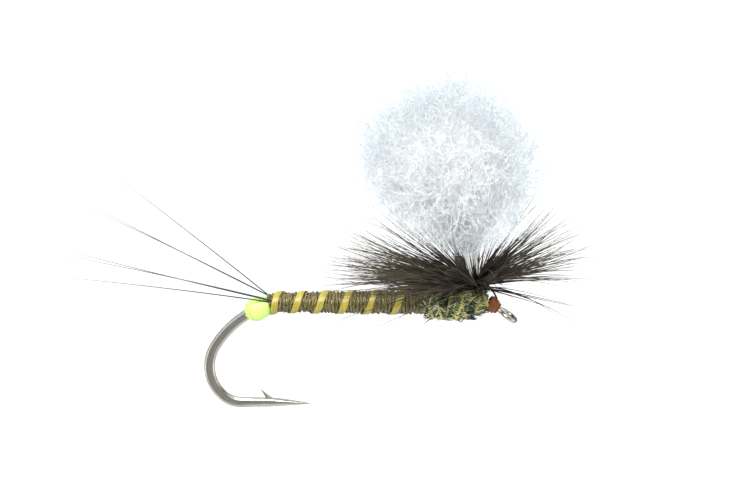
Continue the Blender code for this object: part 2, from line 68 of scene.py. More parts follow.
# ---- places that come from the frame ----
JOINTS = {joint["name"]: joint for joint in frame["joints"]}
WING_HINGE = Vector(JOINTS["wing_flex"]["pos_m"])
TAIL_FAR_HINGE = Vector(JOINTS["tail_far_flex"]["pos_m"])
TAIL_NEAR_HINGE = Vector(JOINTS["tail_near_flex"]["pos_m"])
BASE_LOW, BASE_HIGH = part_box("thread_base")
SHANK_Z = (BASE_LOW.z + BASE_HIGH.z) / 2.0
ABDOMEN_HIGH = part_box("abdomen_wrap")[1]

# ---- the hook's wire, close to the CAD's own dimensions ----
BEND_START_X = BASE_LOW.x - 0.05 * MM
BEND_ARCS = ((19.0, 2.46 * MM), (40.0, 5.80 * MM), (78.0, 2.39 * MM), (43.0, 1.54 * MM))
BEND_LENGTH = sum(math.radians(degrees) * radius for degrees, radius in BEND_ARCS)
SHANK_R = 0.26 * MM
FORGED_R = 0.31 * MM
FORGED_HALF_THICK = 0.20 * MM
FORGING_RUN = 1.2 * MM              # over which the round wire turns into the forged one
FORGED_FLAT = 0.60                  # share of the bend's half width that is flat
FORGED_BEVEL = 0.80                 # and where the bevel beside it ends
BEVEL_HEIGHT = 0.58                 # where the rim begins, as a share of the half thickness
POINT_LENGTH = 4.02 * MM
POINT_TAPER = 2.3 * MM
POINT_DROP = 0.09 * MM
POINT_TIP_R = 0.008 * MM
EYE_DOWN = math.radians(35.0)
EYE_RING_R = 0.52 * MM
EYE_WIRE_R = 0.13 * MM
NECK_R = 0.12 * MM
NECK_HALF_GAP = 0.16 * MM
NECK_END_U = -0.62 * MM
NECK_TAPER_X = -1.05 * MM           # where the neck begins to thicken into the shank
NECK_TAPER_RUN = 1.95 * MM

# ---- the post that wing and hackle are built on ----
POST_LEAN = math.radians(-11.0)
POST_FRAME = Matrix.Translation(WING_HINGE) @ Matrix.Rotation(POST_LEAN, 4, "Y")
POST_TURN = np.array(POST_FRAME.to_3x3())


# ---------------------------------------------------------------- small helpers

def srgb(red, green, blue):
    """Linear colour from 0-255 display values."""
    def linear(value):
        value /= 255.0
        return value / 12.92 if value <= 0.04045 else ((value + 0.055) / 1.055) ** 2.4
    return (linear(red), linear(green), linear(blue), 1.0)


def blend(low, high, fraction):
    return low + (high - low) * fraction


def unit(vectors):
    return vectors / np.maximum(np.linalg.norm(vectors, axis=-1, keepdims=True), 1e-12)


def smooth_step(value):
    value = np.clip(value, 0.0, 1.0)
    return value * value * (3.0 - 2.0 * value)


def waves(rng, count, points, length, wavelengths):
    """Smooth random curves, (count, points, 3), from -1 to 1, over fibres of the given length."""
    t = np.linspace(0.0, 1.0, points)[None, :, None] * np.reshape(length, (-1, 1, 1))
    total = np.zeros((count, points, 3))
    for wavelength in wavelengths:
        turns = 1.0 / (wavelength * rng.uniform(0.75, 1.4, (count, 1, 3)))
        phase = rng.uniform(0.0, TURN, (count, 1, 3))
        total += rng.uniform(0.3, 1.0, (count, 1, 3)) * np.sin(TURN * turns * t + phase)
    return total / len(wavelengths)


def post_to_world(local):
    return local @ POST_TURN.T + np.array(POST_FRAME.translation)


# ---------------------------------------------------------------- tubes

def round_section(sides):
    angle = TURN * np.arange(sides) / sides
    return np.stack((np.cos(angle), np.sin(angle)), axis=1)


def tubes(name, paths, radii, sides=3, up=None, section=None, flatness=1.0, twist=0.0, tones=None):
    """Closed tubes along many paths of equal count, as one mesh object.

    paths is (tubes, points, 3), radii (tubes, points). A section reaches radii to its sides and
    radii * flatness along up. twist turns the grain, in radians for each millimetre.
    """
    paths = np.asarray(paths, float)
    radii = np.asarray(radii, float)
    count, points = paths.shape[:2]
    rng = np.random.default_rng(count * 1000 + points)
    tangent = unit(np.gradient(paths, axis=1))
    if up is None:
        spread = unit(paths[:, -1] - paths[:, 0])
        helper = rng.normal(size=spread.shape)
        up = np.repeat(np.cross(spread, helper)[:, None], points, axis=1)
    side = unit(np.cross(tangent, up))
    up = np.cross(side, tangent)
    if section is None:
        section = round_section(sides)
    section = np.broadcast_to(section, (points, sides, 2))
    high = radii * np.broadcast_to(flatness, radii.shape)
    ring = (paths[:, :, None]
            + side[:, :, None] * (radii[:, :, None] * section[..., 0])[..., None]
            + up[:, :, None] * (high[:, :, None] * section[..., 1])[..., None])

    start = (np.arange(count)[:, None] * points + np.arange(points - 1)[None])[..., None] * sides
    k = np.arange(sides)
    following = (k + 1) % sides
    quads = np.stack(
        (start + k, start + sides + k, start + sides + following, start + following), axis=-1)
    first = np.arange(count)[:, None] * points * sides + k
    last = (first + (points - 1) * sides)[:, ::-1]
    loops = np.concatenate((quads.ravel(), first.ravel(), last.ravel())).astype(np.int32)
    sizes = np.concatenate((np.full(quads.size // 4, 4), np.full(2 * count, sides)))
    mesh = bpy.data.meshes.new(name)
    mesh.vertices.add(count * points * sides)
    mesh.vertices.foreach_set("co", ring.astype(np.float32).ravel())
    mesh.loops.add(len(loops))
    mesh.loops.foreach_set("vertex_index", loops)
    mesh.polygons.add(len(sizes))
    starts = np.concatenate(((0,), np.cumsum(sizes)[:-1])).astype(np.int32)
    mesh.polygons.foreach_set("loop_start", starts)
    mesh.update(calc_edges=True)
    mesh.shade_smooth()

    if tones is None:
        tones = rng.uniform(0.0, 1.0, count)
    step = np.linalg.norm(np.diff(paths, axis=1), axis=2) / MM
    run = np.concatenate((np.zeros((count, 1)), np.cumsum(step, axis=1)), axis=1)
    shape = (count, points, sides)
    turned = TURN * k / sides + twist * run[:, :, None]
    from_start = (run + 37.0 * np.asarray(tones)[:, None])[:, :, None]
    grain = (np.broadcast_to(from_start, shape), np.cos(turned), np.sin(turned))
    along = np.linspace(0.0, 1.0, points)[None, :, None]
    store(mesh, "along", "FLOAT", np.broadcast_to(along, shape))
    store(mesh, "tone", "FLOAT", np.broadcast_to(np.asarray(tones)[:, None, None], shape))
    store(mesh, "grain", "FLOAT_VECTOR", np.stack(grain, axis=-1))
    made = bpy.data.objects.new(name, mesh)
    bpy.context.scene.collection.objects.link(made)
    return made


def store(mesh, name, kind, values):
    attribute = mesh.attributes.new(name, kind, "POINT")
    field = "vector" if kind == "FLOAT_VECTOR" else "value"
    attribute.data.foreach_set(field, np.ascontiguousarray(values, np.float32).ravel())


def finish_piece(piece, material, slot_name, *nodes, body="fly_body"):
    """Give a piece its material and its body, in place of CAD nodes where it has any."""
    piece.data.materials.append(material)
    if nodes:
        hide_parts(*nodes)
    if body:
        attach(piece, body)


# ---------------------------------------------------------------- materials

class Look:
    """A Principled material, put together one node at a time."""

    def __init__(self, name, roughness=0.5, metallic=0.0, **sockets):
        self.material = bpy.data.materials.new(name)
        self.material.use_nodes = True
        self.tree = self.material.node_tree
        self.shader = self.tree.nodes["Principled BSDF"]
        self.shader.inputs["Roughness"].default_value = roughness
        self.shader.inputs["Metallic"].default_value = metallic
        for socket, value in sockets.items():
            socket = socket.replace("_", " ").title().replace("Ior", "IOR")
            self.shader.inputs[socket].default_value = value

    def add(self, kind, inputs=None, **settings):
        node = self.tree.nodes.new("ShaderNode" + kind)
        for key, value in settings.items():
            setattr(node, key, value)
        for key, value in (inputs or {}).items():
            if isinstance(value, bpy.types.NodeSocket):
                self.tree.links.new(value, node.inputs[key])
            else:
                node.inputs[key].default_value = value
        return node

    def fac(self, name):
        return self.add("Attribute", attribute_name=name).outputs["Fac"]

    def grain(self, scale, noise_scale=2.0, detail=3.0):
        """Fine filaments: noise in the grain coordinate, stretched along the tube."""
        grain = self.add("Attribute", attribute_name="grain").outputs["Vector"]
        mapping = self.add("Mapping", {"Vector": grain, "Scale": scale})
        return self.noise(mapping.outputs["Vector"], noise_scale, detail)

    def noise(self, vector, scale, detail=3.0):
        inputs = {"Vector": vector, "Scale": scale, "Detail": detail}
        return self.add("TexNoise", inputs).outputs["Fac"]

    def remap(self, value, low, high, to_low, to_high):
        node = self.add("MapRange", {
            "Value": value, "From Min": low, "From Max": high, "To Min": to_low, "To Max": to_high})
        return node.outputs["Result"]

    def ramp(self, value, stops):
        node = self.add("ValToRGB", {"Fac": value})
        ramp = node.color_ramp
        while len(ramp.elements) < len(stops):
            ramp.elements.new(1.0)
        for element, (place, colour) in zip(ramp.elements, stops):
            element.position = place
            element.color = colour
        return node.outputs["Color"]

    def mixed(self, factor, first, second):
        inputs = {0: factor, 6: first, 7: second}
        return self.add("Mix", inputs, data_type="RGBA").outputs[2]

    def multiplied(self, first, second):
        return self.add("Math", {0: first, 1: second}, operation="MULTIPLY").outputs["Value"]

    def brightened(self, colour, factor):
        return self.add("HueSaturation", {"Color": colour, "Value": factor}).outputs["Color"]

    def set(self, socket, value):
        self.tree.links.new(value, self.shader.inputs[socket])

    def bump(self, height, strength, distance):
        node = self.add("Bump", {"Height": height, "Strength": strength, "Distance": distance})
        self.set("Normal", node.outputs["Normal"])


def fibre_look(name, root, tip, roughness, spread=0.2, streak=0.2, grain=(0.6, 2.5, 2.5),
               bump=0.0, **sockets):
    """A fibre's material: its colour runs from root to tip, most of the way near the tip, each
    tube has its own tone, and fine filaments run along it."""
    look = Look(name, roughness, **sockets)
    along = look.fac("along")
    colour = look.mixed(look.multiplied(along, along), root, tip)
    filament = look.grain(grain)
    tone = look.remap(look.fac("tone"), 0.0, 1.0, 1.0 - spread, 1.0 + spread)
    fine = look.remap(filament, 0.3, 0.7, 1.0 - streak, 1.0 + streak)
    look.set("Base Color", look.brightened(colour, look.multiplied(tone, fine)))
    look.set("Roughness", look.remap(filament, 0.2, 0.8, roughness - 0.08, roughness + 0.1))
    if bump:
        look.bump(filament, bump, 0.02 * MM)
    return look.material


def steel_look():
    """Gunmetal wire: streaks drawn along it, a fine grain, and a faint bronze bloom."""
    look = Look("gunmetal_wire", 0.26, 1.0, specular_tint=(0.12, 0.12, 0.11, 1.0))
    streak = look.grain((0.6, 6.0, 6.0))
    place = look.add("TexCoord").outputs["Object"]
    speck = look.noise(place, 26000.0, 2.0)
    bloom = look.noise(place, 900.0, 2.0)
    colour = look.ramp(streak, ((0.25, srgb(146, 145, 137)), (0.75, srgb(196, 194, 185))))
    warm = look.mixed(look.remap(bloom, 0.4, 0.7, 0.0, 0.6), colour, srgb(168, 159, 141))
    look.set("Base Color", look.brightened(warm, look.remap(speck, 0.3, 0.7, 0.85, 1.12)))
    look.set("Roughness", look.remap(streak, 0.2, 0.8, 0.18, 0.32))
    look.bump(speck, 0.25, 0.004 * MM)
    return look.material


def strand_look():
    """Two plies of one strand: dark olive brown, with tan filaments whose brightness is partly their
    own colour and partly a painted glint.
    """
    look = Look("olive_strand", 0.3, specular_ior_level=0.7)
    filament = look.grain((1.2, 2.2, 2.2), 2.2)
    place = look.add("TexCoord").outputs["Object"]
    patch = look.noise(place, 2600.0, 2.0)
    # The bright tan end of this ramp is partly the filaments' own tan and partly painted glints.
    colour = look.ramp(filament, (
        (0.34, srgb(24, 19, 4)),
        (0.50, srgb(62, 53, 13)),
        (0.60, srgb(130, 116, 40)),
        (0.72, srgb(214, 197, 98)),
    ))
    look.set("Base Color", look.brightened(colour, look.remap(patch, 0.3, 0.7, 0.72, 1.2)))
    look.set("Roughness", look.remap(filament, 0.2, 0.8, 0.46, 0.3))
    look.bump(filament, 0.5, 0.02 * MM)
    return look.material


def yarn_look():
    """White nylon yarn with painted light and shade: where it is felted it is painted near-white as a
    glow, and single fibres are painted a cool pale grey as shade.
    """
    look = Look("white_yarn", 0.7)
    filament = look.grain((0.6, 2.5, 2.5))
    # Painted light and shade: close felt gets a near-white colour, loose fibres a cool pale grey.
    close = look.remap(look.fac("tone"), 0.0, 0.6, 0.0, 1.0)
    colour = look.mixed(close, srgb(206, 214, 219), srgb(254, 255, 255))
    look.set("Base Color", look.brightened(colour, look.remap(filament, 0.3, 0.7, 0.97, 1.02)))
    return look.material


def herl_look():
    """Peacock flue in the feather's own teal, green and bronze, with painted light: a near-black that
    is painted shade for the gaps, a pale teal that is a painted highlight, and a bright yellow-green
    that is partly its own colour and partly painted sheen.
    """
    look = Look("herl_flue", 0.3, specular_ior_level=0.7)
    # Stop 0.00 is painted shade, stop 0.88 a painted highlight, and stop 0.76 partly painted sheen.
    colour = look.ramp(look.fac("tone"), (
        (0.00, srgb(10, 18, 18)),
        (0.18, srgb(22, 42, 40)),
        (0.32, srgb(40, 70, 62)),
        (0.46, srgb(92, 112, 42)),
        (0.60, srgb(176, 184, 84)),
        (0.76, srgb(236, 236, 150)),
        (0.88, srgb(200, 222, 210)),
        (1.00, srgb(128, 98, 56)),
    ))
    fine = look.grain((6.0, 1.5, 1.5))
    look.set("Base Color", look.brightened(colour, look.remap(fine, 0.3, 0.7, 0.7, 1.3)))
    look.set("Roughness", look.remap(fine, 0.2, 0.8, 0.24, 0.48))
    return look.material


def floor_look():
    """White card with painted shade: grey at the front left and to both sides, which the wire mirrors
    as its dark edges.
    """
    look = Look("pale_floor", 0.9)
    place = look.add("TexCoord").outputs["Object"]
    cloud = look.noise(place, 3.0)
    card = look.ramp(cloud, ((0.3, srgb(248, 248, 248)), (0.7, srgb(252, 252, 252))))
    grey = look.ramp(cloud, ((0.3, srgb(158, 158, 158)), (0.7, srgb(164, 164, 164))))
    # Painted shade: the card turns grey toward the front left and in bands to both sides.
    toward_back = look.add("VectorMath", {0: place, 1: (0.5, 1.0, 0.0)}, operation="DOT_PRODUCT")
    lit = look.remap(toward_back.outputs["Value"], -0.55, -0.2, 0.0, 1.0)
    axes = look.add("SeparateXYZ", {0: place}).outputs
    aside = look.add("Math", {0: axes["X"]}, operation="ABSOLUTE").outputs["Value"]
    angle = look.add("Math", {0: aside, 1: axes["Y"]}, operation="ARCTAN2").outputs["Value"]
    inner = look.remap(angle, 0.12, 0.20, 1.0, 0.0)
    outer = look.remap(angle, 1.1, 1.3, 0.0, 1.0)
    middle = look.add("Math", {0: inner, 1: outer}, operation="MAXIMUM").outputs["Value"]
    look.set("Base Color", look.mixed(look.multiplied(lit, middle), grey, card))
    return look.material


# ---------------------------------------------------------------- hook

def on_wire(s):
    """Middle of the wire and its heading below -X, at distance s past the start of the bend."""
    x, z, heading = BEND_START_X, SHANK_Z, 0.0
    for degrees, radius in BEND_ARCS:
        turn = min(math.radians(degrees), max(s, 0.0) / radius)
        x -= radius * (math.sin(heading + turn) - math.sin(heading))
        z -= radius * (math.cos(heading) - math.cos(heading + turn))
        heading += turn
        s -= turn * radius
    return Vector((x - s * math.cos(heading), 0.0, z - s * math.sin(heading))), heading


def eye_stations():
    """The loop of the eye, from the wire's free end round to the neck: (middle, up, r, r, 0)."""
    reach = math.hypot(NECK_END_U, NECK_HALF_GAP)
    leave = math.atan2(NECK_HALF_GAP, NECK_END_U) - math.acos(EYE_RING_R / reach)
    neck = [(u * MM, NECK_HALF_GAP) for u in (-0.66, -0.78, -0.92, -1.04, -1.14)]
    plane = [(u, -w) for u, w in reversed(neck)]
    steps = 56
    for i in range(steps + 1):
        angle = leave * (2.0 * i / steps - 1.0)
        plane.append((EYE_RING_R * math.cos(angle), EYE_RING_R * math.sin(angle)))
    plane += neck
    up = (math.sin(EYE_DOWN), 0.0, math.cos(EYE_DOWN))
    made = []
    for i, (u, w) in enumerate(plane):
        free_end = min(1.0, 0.45 + 0.25 * i)
        middle = (u * math.cos(EYE_DOWN), w, -u * math.sin(EYE_DOWN))
        made.append((middle, up, EYE_WIRE_R * free_end, EYE_WIRE_R * free_end, 0.0))
    return made


def shank_stations():
    made = []
    for i in range(13):
        x = blend(-1.3 * MM, -3.0 * MM, i / 12)
        fraction = min(1.0, (NECK_TAPER_X - x) / NECK_TAPER_RUN)
        radius = blend(NECK_R, SHANK_R, fraction)
        side = NECK_HALF_GAP * (1.0 - fraction) ** 2
        made.append(((x, side, SHANK_Z), (0.0, 0.0, 1.0), radius, radius, 0.0))
    return made


def bend_stations():
    """The bend and the point: (middle, up, half thickness, half width, share of forging)."""
    whole = BEND_LENGTH + POINT_LENGTH
    made = []
    steps = 190
    for i in range(steps + 1):
        s = whole * i / steps
        middle, heading = on_wire(s)
        up = Vector((-math.sin(heading), 0.0, math.cos(heading)))
        forged = float(smooth_step(s / FORGING_RUN))
        wide = blend(SHANK_R, FORGED_R, forged)
        thick = blend(SHANK_R, FORGED_HALF_THICK, forged)
        past_bend = float(smooth_step((s - BEND_LENGTH + 0.9 * MM) / (2.4 * MM)))
        wide *= blend(1.0, 0.86, past_bend)
        forged *= blend(1.0, 0.5, past_bend)
        left = (whole - s) / POINT_TAPER
        if left < 1.0:
            wide = blend(POINT_TIP_R, wide, left ** 0.8)
            thick = min(thick, wide)
            forged *= left
            middle = middle + up * POINT_DROP * (1.0 - left) ** 1.5
        made.append((tuple(middle), tuple(up), thick, wide, forged))
    return made


def forged_section(sides, share):
    """A circle that turns into a flat with a bevel on each side as share goes to 1."""
    circle = round_section(sides)
    out = np.abs(circle[:, 1])
    flat = np.interp(out, (0.0, FORGED_FLAT, FORGED_BEVEL), (1.0, 0.97, BEVEL_HEIGHT))
    rim = np.clip((out - FORGED_BEVEL) / (1.0 - FORGED_BEVEL), 0.0, 1.0)
    flat = np.where(rim > 0.0, BEVEL_HEIGHT * np.sqrt(1.0 - rim ** 2), flat)
    across = blend(circle[:, 0], np.sign(np.round(circle[:, 0], 6)) * flat, share)
    return np.stack((across, circle[:, 1]), axis=1)


def make_hook(material):
    """One wire from the eye's free end to the point: round at the eye, forged flat at the bend."""
    sides = 48
    stations = eye_stations() + shank_stations() + bend_stations()
    path, up, thick, wide = (np.array([column]) for column in list(zip(*stations))[:4])
    section = np.array([forged_section(sides, forged) for *_, forged in stations])
    hook = tubes("hook_wire", path, thick, sides, up, section, wide / thick)
    finish_piece(hook, material, "hook_steel", "hook")

    bottom = on_wire(100.0 * MM)[0].z
    spine = (          # x, height over the wire's middle, half width
        (-13.55, 0.02, 0.18), (-13.70, 0.14, 0.17), (-13.83, 0.27, 0.135), (-13.95, 0.40, 0.095),
        (-14.06, 0.53, 0.062), (-14.17, 0.66, 0.036), (-14.27, 0.78, 0.008))
    barb_path = np.array([[(x * MM, 0.0, bottom + height * MM) for x, height, half in spine]])
    barb_r = np.array([[half * MM for x, height, half in spine]])
    barb_up = np.zeros_like(barb_path)
    barb_up[..., 1] = 1.0
    barb = tubes("hook_barb", barb_path, barb_r, 16, barb_up, flatness=0.8)
    smooth = barb.modifiers.new("smooth", "SUBSURF")
    smooth.levels = smooth.render_levels = 2
    finish_piece(barb, material, "hook_steel")


# ---------------------------------------------------------------- windings

def wire_frame(s):
    """Middle of the wire at s, and the two directions across it: near side, and up."""
    middle, heading = on_wire(s)
    up = Vector((-math.sin(heading), 0.0, math.cos(heading)))
    return middle, Vector((0.0, -1.0, 0.0)), up


def winding(place, radius, turns, steps, rng=None, drift=0.0, slip=0.0, first_angle=0.0):
    """A helix round a curved axis. place(f) gives (middle, near, up) and radius(f) its radius.

    drift and slip are random wander, outwards and along the axis. Returns (path, outward).
    """
    count = int(turns * steps)
    knots = int(turns * 4) + 4
    at = np.linspace(0.0, knots - 1.0, count + 1)
    out_by = np.zeros(count + 1)
    along_by = np.zeros(count + 1)
    if rng is not None:
        out_by = np.interp(at, np.arange(knots), rng.normal(0.0, 1.0, knots)) * drift
        along_by = np.interp(at, np.arange(knots), rng.normal(0.0, 1.0, knots)) * slip
    path = []
    outward = []
    for i in range(count + 1):
        f = i / count
        middle, near, up = place(f)
        angle = first_angle + TURN * turns * f
        direction = near * math.cos(angle) + up * math.sin(angle)
        axial = near.cross(up)
        path.append(middle + direction * (radius(f) + out_by[i]) + axial * along_by[i])
        outward.append(direction)
    return np.array([path], float), np.array([outward], float)


def plied(path, outward, offset, pitch, plies=2):
    """Split one path into plies that twist round it, one turn for each pitch."""
    tangent = unit(np.gradient(path, axis=1))
    across = np.cross(tangent, outward)
    step = np.linalg.norm(np.diff(path[0], axis=0), axis=1)
    run = np.concatenate(((0.0,), np.cumsum(step)))
    made = []
    for ply in range(plies):
        angle = (TURN * (run / pitch + ply / plies))[None, :, None]
        made.append((path + offset * (outward * np.cos(angle) + across * np.sin(angle)))[0])
    return np.array(made)


# ---------------------------------------------------------------- abdomen, rib and butt

ABDOMEN_REAR_S = 0.72 * MM                  # how far round the bend the abdomen begins
ABDOMEN_R = (0.585 * MM, 0.70 * MM)         # where the bend begins, and at the thorax
STRAND_TURNS = 44.0
PLY_R = 0.070 * MM
PLY_OFFSET = 0.038 * MM
PLY_PITCH = 1.7 * MM
RIB_FIRST_X = -13.46                        # of turn 0, in millimetres
RIB_PITCH = 1.27
RIB_PITCH_GROWTH = 0.075                    # from each turn to the next
RIB_HALF_WIDTH = 0.19 * MM
BUTT_MIDDLE_S = 1.46 * MM
BUTT_HALF = 0.74 * MM
BUTT_R = 0.60 * MM
FLOSS_TURNS = (7.0, 8.0, 6.0, 7.0)          # of each layer


def abdomen_radius(x):
    front = (x - BEND_START_X) / (ABDOMEN_HIGH.x - BEND_START_X)
    return blend(*ABDOMEN_R, min(1.0, max(0.0, front)))


def abdomen_place(f):
    return wire_frame(blend(ABDOMEN_REAR_S, BEND_START_X - ABDOMEN_HIGH.x + 0.05 * MM, f))


def make_abdomen(material):
    """A twisted two-ply strand, wound close over a solid underbody."""
    rng = np.random.default_rng(11)

    def radius(f):
        rear_end = min(1.0, 0.80 + f * 16.0)
        middle_waist = 1.0 - 0.03 * math.sin(math.pi * min(1.0, f * 2.2)) ** 2
        return (abdomen_radius(abdomen_place(f)[0].x) - 0.075 * MM) * rear_end * middle_waist

    path, outward = winding(
        abdomen_place, radius, STRAND_TURNS, 56, rng, drift=0.018 * MM, slip=0.03 * MM)
    plies = plied(path, outward, PLY_OFFSET, PLY_PITCH)
    radii = np.full(plies.shape[:2], PLY_R)
    strand = tubes("abdomen_strand", plies, radii, 6, twist=5.0, tones=np.array((0.3, 0.7)))
    finish_piece(strand, material, "abdomen_strand", "abdomen_wrap")

    places = np.linspace(0.01, 1.0, 40)
    core_path = np.array([[abdomen_place(f)[0] for f in places]])
    core_r = np.array([[radius(f) - 0.03 * MM for f in places]])
    up = np.zeros_like(core_path)
    up[..., 1] = 1.0
    finish_piece(tubes("abdomen_underbody", core_path, core_r, 24, up), material, "abdomen_strand")


def make_rib(material):
    """A flat ribbon in an open spiral; it rises on the near side on its way to the head."""
    rng = np.random.default_rng(17)
    first_turn, last_turn = -0.20, 5.6
    steps = 48
    count = int((last_turn - first_turn) * steps)
    path = []
    outward = []
    for i in range(count + 1):
        turn = blend(first_turn, last_turn, i / count)
        grown = RIB_PITCH_GROWTH * turn * (turn - 1.0) / 2.0
        x = (RIB_FIRST_X + RIB_PITCH * turn + grown) * MM
        middle, near, up = wire_frame(BEND_START_X - x)
        angle = TURN * turn
        direction = near * math.cos(angle) + up * math.sin(angle)
        path.append(middle + direction * (abdomen_radius(x) + 0.045 * MM))
        outward.append(direction)
    path = np.array([path], float)
    outward = np.array([outward], float)
    radii = np.full(path.shape[:2], RIB_HALF_WIDTH)
    knots = rng.normal(1.0, 0.05, 40)
    radii[0] *= np.interp(np.linspace(0.0, 39.0, count + 1), np.arange(40), knots)
    crowned = round_section(16)
    crowned = np.sign(crowned) * np.abs(crowned) ** np.array((0.55, 0.9))
    ribbon = tubes("rib_ribbon", path, radii, 16, outward, crowned, flatness=0.13)
    finish_piece(ribbon, material, "rib_ribbon", "rib")


def make_butt(material):
    """Floss wound to and fro into an egg where the bend begins."""
    rng = np.random.default_rng(5)

    def radius_at(f):
        return BUTT_R * math.sqrt(max(0.0, 1.0 - abs(2.0 * f - 1.0) ** 2.4)) + 0.03 * MM

    layers = []
    outs = []
    for layer, turns in enumerate(FLOSS_TURNS):
        toward = 1.0 if layer % 2 else -1.0

        def place(f, toward=toward):
            return wire_frame(BUTT_MIDDLE_S + toward * BUTT_HALF * (2.0 * f - 1.0) * 0.93)

        path, outward = winding(place, radius_at, turns, 44, rng, drift=0.02 * MM, slip=0.03 * MM,
                                first_angle=layer * 1.3)
        layers.append(resample(path[0], 300))
        outs.append(resample(outward[0], 300))
    paths = np.array(layers)
    radii = np.full(paths.shape[:2], 0.145 * MM)
    floss = tubes("butt_floss_bands", paths, radii, 10, unit(np.array(outs)), flatness=0.30)
    finish_piece(floss, material, "butt_floss", "butt_floss")


def resample(path, count):
    old = np.linspace(0.0, 1.0, len(path))
    new = np.linspace(0.0, 1.0, count)
    return np.stack([np.interp(new, old, path[:, k]) for k in range(3)], axis=1)


# ---------------------------------------------------------------- tail

# One fibre a line: root (y, z), tip (x, y, z), and how far the middle bows upwards, in millimetres.
TAIL_FAR = (
    ((0.50, 1.10), (-22.40, 3.7, 7.08), 0.05),
    ((0.36, 1.10), (-24.08, 2.4, 5.67), 0.08),
    ((0.22, 1.14), (-23.67, 1.0, 6.09), -0.02),
)
TAIL_NEAR = (
    ((-0.36, 1.06), (-25.46, -1.0, 3.85), 0.08),
    ((-0.50, 1.06), (-25.22, -2.4, 4.51), -0.03),
    ((-0.43, 0.94), (-25.50, -3.7, 3.35), 0.07),
)
HAIR_R = (0.038 * MM, 0.009 * MM)           # at the root and at the tip


def make_tail(name, fibres, hinge, nodes, material):
    points = 44
    t = np.linspace(-0.04, 1.0, points)
    paths = []
    for root, tip, bow in fibres:
        start = np.array((hinge.x / MM, root[0], root[1]))
        line = start + (np.array(tip) - start) * t[:, None]
        line[:, 2] += 4.0 * bow * t * (1.0 - t)
        paths.append(line * MM)
    radii = blend(*HAIR_R, np.clip(t, 0.0, 1.0) ** 1.2)
    radii = np.repeat(radii[None], len(fibres), axis=0)
    tail = tubes(name, paths, radii, 8)
    finish_piece(tail, material, "tail_fibre", *nodes, body=None)
    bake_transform(tail)


# ---------------------------------------------------------------- wing

# Lobes of the combed-out yarn: middle from the hinge, half size (in millimetres), share of the
# fibres, and how closely they lie (1 in the felted middle, 0 in the lace round it).
WING_LOBES = (
    ((-1.35, 0.0, 5.35), (3.55, 1.9, 3.60), 0.56, 1.0),
    ((-0.70, 0.0, 2.60), (3.00, 1.3, 1.60), 0.13, 0.9),
    ((-0.30, 0.0, 1.05), (1.90, 0.9, 1.05), 0.06, 0.8),
    ((-0.50, 0.0, 9.50), (2.00, 1.1, 1.20), 0.04, 0.0),
    ((-2.90, 0.1, 9.00), (1.90, 1.0, 1.20), 0.04, 0.0),
    ((-5.30, 0.2, 6.30), (1.60, 1.0, 1.70), 0.04, 0.0),
    ((-4.90, -0.1, 4.00), (1.30, 0.8, 1.20), 0.025, 0.2),
    ((2.80, 0.0, 5.50), (1.60, 0.9, 2.20), 0.05, 0.0),
    ((2.00, 0.0, 3.20), (1.30, 0.9, 1.20), 0.03, 0.3),
    ((-4.40, 0.1, 8.20), (1.90, 1.1, 1.50), 0.02, 0.0),
    ((1.60, 0.0, 8.00), (1.60, 1.0, 1.50), 0.026, 0.0),
    ((1.80, -1.7, 1.00), (1.20, 0.5, 0.60), 0.014, 0.5),
)
# One piece of curls a row: how many, points of each, crimp in millimetres, and spread as a share
# of the lobes' size. Four pieces fill the wing, and the last one is of loose curls round it.
WING_CURLS = ((940, 34, 0.13, 1.0),) * 4 + ((150, 60, 0.26, 1.22),)
YARN_R = 0.0096 * MM


def wing_places(rng, count, spread=1.0):
    """Random places in the lobes, a quarter of them in a looser coat, and how closely each lies."""
    middle, half, share, close = (np.array(column) for column in zip(*WING_LOBES))
    lobe = rng.choice(len(WING_LOBES), count, p=share / share.sum())
    reach = rng.uniform(0.0, 1.0, (count, 1)) ** 0.37
    reach *= np.where(rng.uniform(0.0, 1.0, (count, 1)) < 0.25, 1.35, 1.0) * spread
    places = middle[lobe] + unit(rng.normal(size=(count, 3))) * reach * half[lobe]
    return places, close[lobe] * (1.0 - smooth_step((reach[:, 0] - 0.6) / 0.6))


def wing_underside(line):
    """Height that the yarn's spread stays over: a bowl, steeper towards the eye."""
    across = line[..., 0] ** 2 + line[..., 1] ** 2
    bowl = blend(0.12, 0.22, smooth_step(line[..., 0] + 0.5)) * across
    return 2.2 * np.tanh(bowl / 2.2) - 0.1


